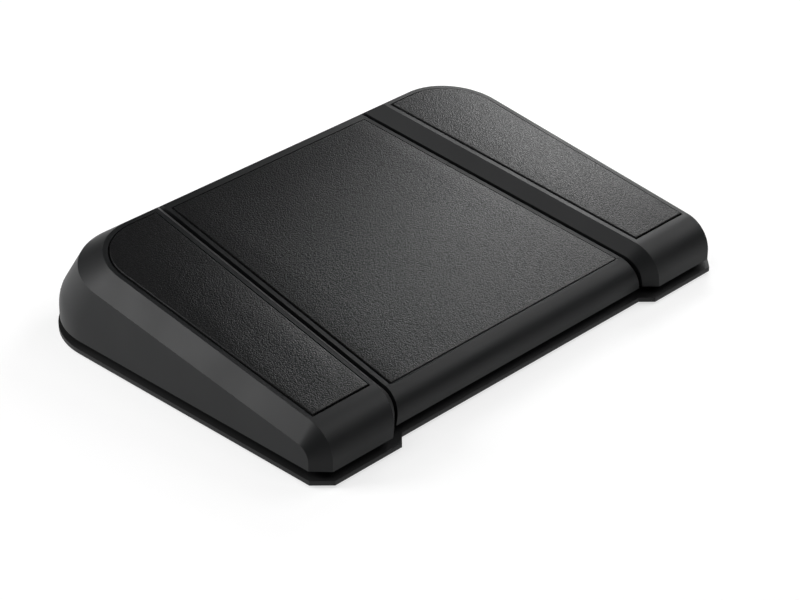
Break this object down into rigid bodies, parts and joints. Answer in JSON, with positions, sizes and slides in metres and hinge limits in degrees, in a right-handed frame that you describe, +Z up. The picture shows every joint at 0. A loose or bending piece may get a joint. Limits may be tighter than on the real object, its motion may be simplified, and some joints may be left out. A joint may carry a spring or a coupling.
{
  "type": "usb foot pedal switch",
  "caption": "Desk foot switch with rocking pedals side by side on a thin base plate, textured pads in wedge-shaped housings, and a USB inlet at the back.",
  "frame": {"origin": "middle of the object's outline, on the floor under its feet", "axes": "+X to the user's right along the row of pedals, +Y away from the user towards the USB inlet, +Z up"},
  "size_m": [0.24, 0.1792, 0.0451],
  "materials": {
    "plate_steel": "satin black powder coat",
    "tray_plastic": "moulded, matt",
    "foot_rubber": "matt",
    "screw_steel": "zinc plated",
    "circuit_board": "solder resist",
    "chip_plastic": "moulded",
    "component_body": "ceramic and plastic bodies",
    "surround_plastic": "moulded, matt",
    "socket_metal": "bright stamped sheet",
    "tongue_plastic": "moulded",
    "stop_rubber": "matt",
    "pedal_plastic": "fine moulded satin",
    "pad_rubber": "fine grained",
    "bracket_steel": "zinc plated",
    "pin_steel": "ground",
    "clip_steel": "spring steel",
    "bush_brass": "turned",
    "spring_steel": "drawn wire",
    "switch_plastic": "moulded",
    "plunger_plastic": "polished"
  },
  "bodies": {
    "base": {"base_plate": "plate_steel", "base_tray": "tray_plastic", "rubber_feet": "foot_rubber", "tray_screws": "screw_steel", "bracket_screws": "screw_steel", "board_screws": "screw_steel", "main_board": "circuit_board", "controller_chip": "chip_plastic", "board_parts": "component_body", "usb_surround": "surround_plastic", "usb_socket": "socket_metal", "usb_tongue": "tongue_plastic", "stop_pads": "stop_rubber", "hinge_bracket_left": "bracket_steel", "hinge_pin_left": "pin_steel", "pin_clips_left": "clip_steel", "return_spring_left": "spring_steel", "switch_body_left": "switch_plastic", "hinge_bracket_centre": "bracket_steel", "hinge_pin_centre": "pin_steel", "pin_clips_centre": "clip_steel", "return_spring_centre": "spring_steel", "switch_body_centre": "switch_plastic", "hinge_bracket_right": "bracket_steel", "hinge_pin_right": "pin_steel", "pin_clips_right": "clip_steel", "return_spring_right": "spring_steel", "switch_body_right": "switch_plastic"},
    "pedal_left": {"pedal_shell_left": "pedal_plastic", "pedal_pad_left": "pad_rubber", "hinge_bushes_left": "bush_brass"},
    "plunger_left": {"switch_plunger_left": "plunger_plastic"},
    "pedal_centre": {"pedal_shell_centre": "pedal_plastic", "pedal_pad_centre": "pad_rubber", "hinge_bushes_centre": "bush_brass"},
    "plunger_centre": {"switch_plunger_centre": "plunger_plastic"},
    "pedal_right": {"pedal_shell_right": "pedal_plastic", "pedal_pad_right": "pad_rubber", "hinge_bushes_right": "bush_brass"},
    "plunger_right": {"switch_plunger_right": "plunger_plastic"}
  },
  "joints": [
    {"name": "pedal_left_hinge", "type": "hinge", "parent": "base", "child": "pedal_left", "pos_m": [0, 0.06035, 0.015], "axis": [1, 0, 0], "range_deg": [0, 1.15], "stiffness_Nm_per_rad": 23, "springref_deg": -2.18, "deforming": ["return_spring_left"]},
    {"name": "pedal_centre_hinge", "type": "hinge", "parent": "base", "child": "pedal_centre", "pos_m": [0, 0.06035, 0.015], "axis": [1, 0, 0], "range_deg": [0, 1.15], "stiffness_Nm_per_rad": 23, "springref_deg": -2.18, "deforming": ["return_spring_centre"]},
    {"name": "pedal_right_hinge", "type": "hinge", "parent": "base", "child": "pedal_right", "pos_m": [0, 0.06035, 0.015], "axis": [1, 0, 0], "range_deg": [0, 1.15], "stiffness_Nm_per_rad": 23, "springref_deg": -2.18, "deforming": ["return_spring_right"]},
    {"name": "plunger_left_slide", "type": "slide", "parent": "base", "child": "plunger_left", "axis": [0, 0, -1], "range_m": [0, 0.0008]},
    {"name": "plunger_centre_slide", "type": "slide", "parent": "base", "child": "plunger_centre", "axis": [0, 0, -1], "range_m": [0, 0.0008]},
    {"name": "plunger_right_slide", "type": "slide", "parent": "base", "child": "plunger_right", "axis": [0, 0, -1], "range_m": [0, 0.0008]}
  ],
  "couplings": [
    {"joint": "plunger_left_slide", "follows": "pedal_left_hinge", "m_per_rad": 0.039},
    {"joint": "plunger_centre_slide", "follows": "pedal_centre_hinge", "m_per_rad": 0.039},
    {"joint": "plunger_right_slide", "follows": "pedal_right_hinge", "m_per_rad": 0.039}
  ]
}
